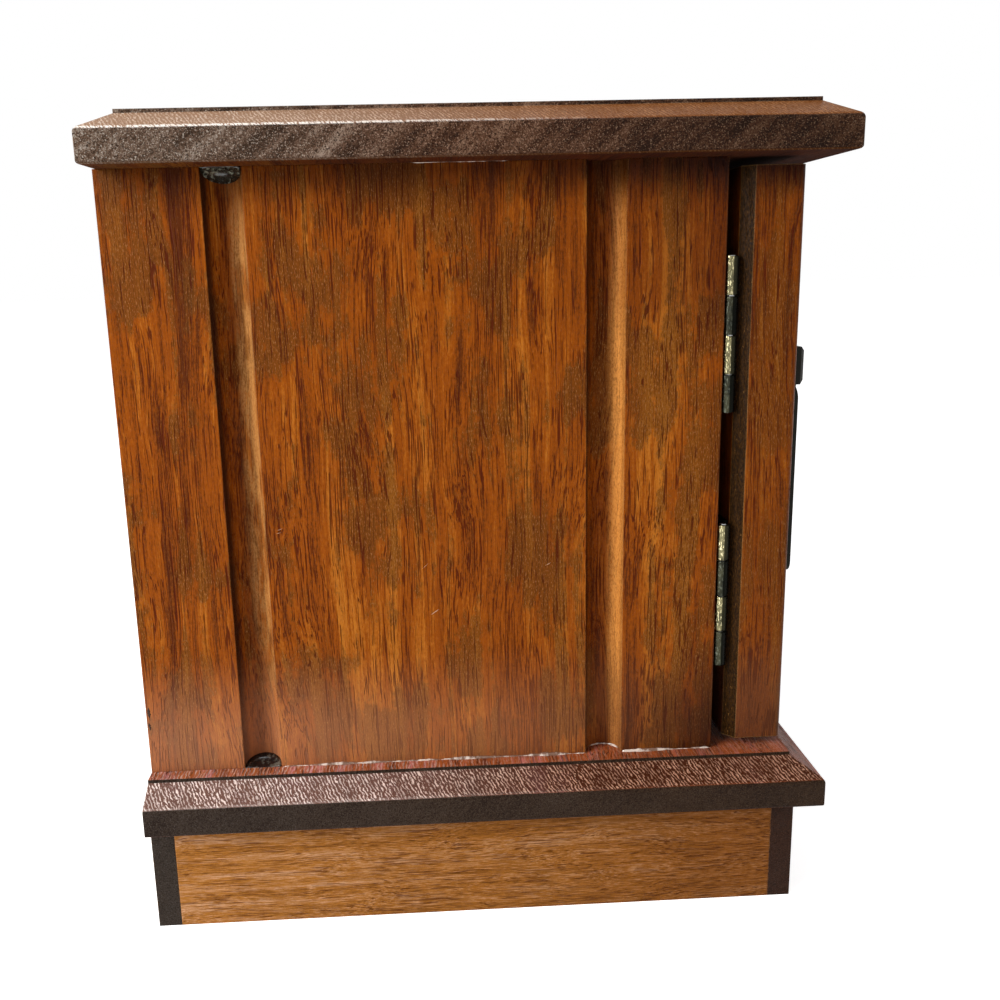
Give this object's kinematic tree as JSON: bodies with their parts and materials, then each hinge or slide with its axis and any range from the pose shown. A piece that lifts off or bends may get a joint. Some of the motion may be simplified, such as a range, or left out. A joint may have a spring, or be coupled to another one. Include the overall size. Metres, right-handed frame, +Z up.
{
  "type": "musical jewelry box",
  "caption": "Wooden jewelry chest with hinged necklace doors at both sides, drawers between them, a moulded top and plinth, and a wind-up musical movement.",
  "frame": {"origin": "on the floor under the middle of the whole box, with the pulls counted in its depth", "axes": "+X to the right of someone who faces the doors and drawers, -Y towards that person, +Z up"},
  "size_m": [0.272, 0.1846, 0.2027],
  "materials": {
    "case_wood": "gloss varnish over reddish brown wood with open pores",
    "panel_wood": "plain stained board",
    "brass": "aged, satin",
    "pull_metal": "near black, satin",
    "steel": "bright",
    "plated_metal": "cast and plated, satin",
    "dark_plastic": "matt black",
    "velvet": "short pile velvet, dark red"
  },
  "bodies": {
    "case": {"top_board": "case_wood", "base_board": "case_wood", "plinth_front": "case_wood", "plinth_back": "case_wood", "plinth_side_left": "case_wood", "plinth_side_right": "case_wood", "side_wall_left": "case_wood", "side_wall_right": "case_wood", "back_panel": "panel_wood", "partition_left": "case_wood", "partition_right": "case_wood", "drawer_divider_lower": "case_wood", "drawer_divider_upper": "case_wood", "hinge_leaves_wall_left": "brass", "hinge_leaves_wall_right": "brass", "hinge_pins": "steel", "door_catches": "dark_plastic", "necklace_hooks": "brass", "movement_bedplate": "plated_metal", "spring_housing": "plated_metal", "tuned_comb": "steel", "governor_housing": "dark_plastic"},
    "door_left": {"door_stiles_left": "case_wood", "door_rails_left": "case_wood", "door_panel_left": "case_wood", "door_strike_left": "steel", "hinge_leaves_door_left": "brass", "pull_post_left": "pull_metal"},
    "door_right": {"door_stiles_right": "case_wood", "door_rails_right": "case_wood", "door_panel_right": "case_wood", "door_strike_right": "steel", "hinge_leaves_door_right": "brass", "pull_post_right": "pull_metal"},
    "drop_left": {"pull_drop_left": "pull_metal"},
    "drop_right": {"pull_drop_right": "pull_metal"},
    "key": {"winding_key": "brass", "spring_arbor": "steel", "crown_wheel": "brass"},
    "cylinder": {"tune_cylinder": "brass", "cylinder_wheel": "brass"},
    "governor": {"governor_pinion": "brass"},
    "stop_lever": {"stop_lever": "steel"},
    "drawer_lower": {"drawer_lower_front": "case_wood", "drawer_lower_box": "case_wood", "drawer_lower_bottom": "panel_wood", "drawer_lower_liner": "velvet", "drawer_lower_knob": "brass"},
    "drawer_middle": {"drawer_middle_front": "case_wood", "drawer_middle_box": "case_wood", "drawer_middle_bottom": "panel_wood", "drawer_middle_liner": "velvet", "drawer_middle_knob": "brass"},
    "drawer_upper": {"drawer_upper_front": "case_wood", "drawer_upper_box": "case_wood", "drawer_upper_bottom": "panel_wood", "drawer_upper_liner": "velvet", "drawer_upper_knob": "brass"}
  },
  "joints": [
    {"name": "door_left_hinge", "type": "hinge", "parent": "case", "child": "door_left", "pos_m": [-0.12325, -0.056, 0.1158], "axis": [0, 0, -1], "range_deg": [0, 125]},
    {"name": "door_right_hinge", "type": "hinge", "parent": "case", "child": "door_right", "pos_m": [0.12325, -0.056, 0.1158], "axis": [0, 0, 1], "range_deg": [0, 125]},
    {"name": "drop_left_swing", "type": "hinge", "parent": "door_left", "child": "drop_left", "pos_m": [-0.0765, -0.0899, 0.1363], "axis": [-1, 0, 0], "range_deg": [-8, 60]},
    {"name": "drop_right_swing", "type": "hinge", "parent": "door_right", "child": "drop_right", "pos_m": [0.0765, -0.0899, 0.1363], "axis": [-1, 0, 0], "range_deg": [-8, 60]},
    {"name": "drawer_lower_slide", "type": "slide", "parent": "case", "child": "drawer_lower", "axis": [0, -1, 0], "range_m": [0, 0.06]},
    {"name": "drawer_middle_slide", "type": "slide", "parent": "case", "child": "drawer_middle", "axis": [0, -1, 0], "range_m": [0, 0.11]},
    {"name": "drawer_upper_slide", "type": "slide", "parent": "case", "child": "drawer_upper", "axis": [0, -1, 0], "range_m": [0, 0.11]},
    {"name": "key_turn", "type": "hinge", "parent": "case", "child": "key", "pos_m": [-0.016, 0.05545, 0.04], "axis": [0, 0, 1], "continuous": true},
    {"name": "cylinder_turn", "type": "hinge", "parent": "case", "child": "cylinder", "pos_m": [0, 0.05545, 0.05688], "axis": [1, 0, 0], "continuous": true},
    {"name": "governor_turn", "type": "hinge", "parent": "case", "child": "governor", "pos_m": [0.02475, 0.04545, 0.05688], "axis": [1, 0, 0], "continuous": true},
    {"name": "stop_lever_turn", "type": "hinge", "parent": "case", "child": "stop_lever", "pos_m": [0.0053, 0.03655, 0.0444], "axis": [0, 0, 1], "range_deg": [0, 13]}
  ],
  "couplings": [
    {"joint": "cylinder_turn", "follows": "key_turn", "ratio": 4},
    {"joint": "governor_turn", "follows": "key_turn", "ratio": -16},
    {"joint": "stop_lever_turn", "follows": "drawer_lower_slide", "rad_per_m": 3.4}
  ]
}
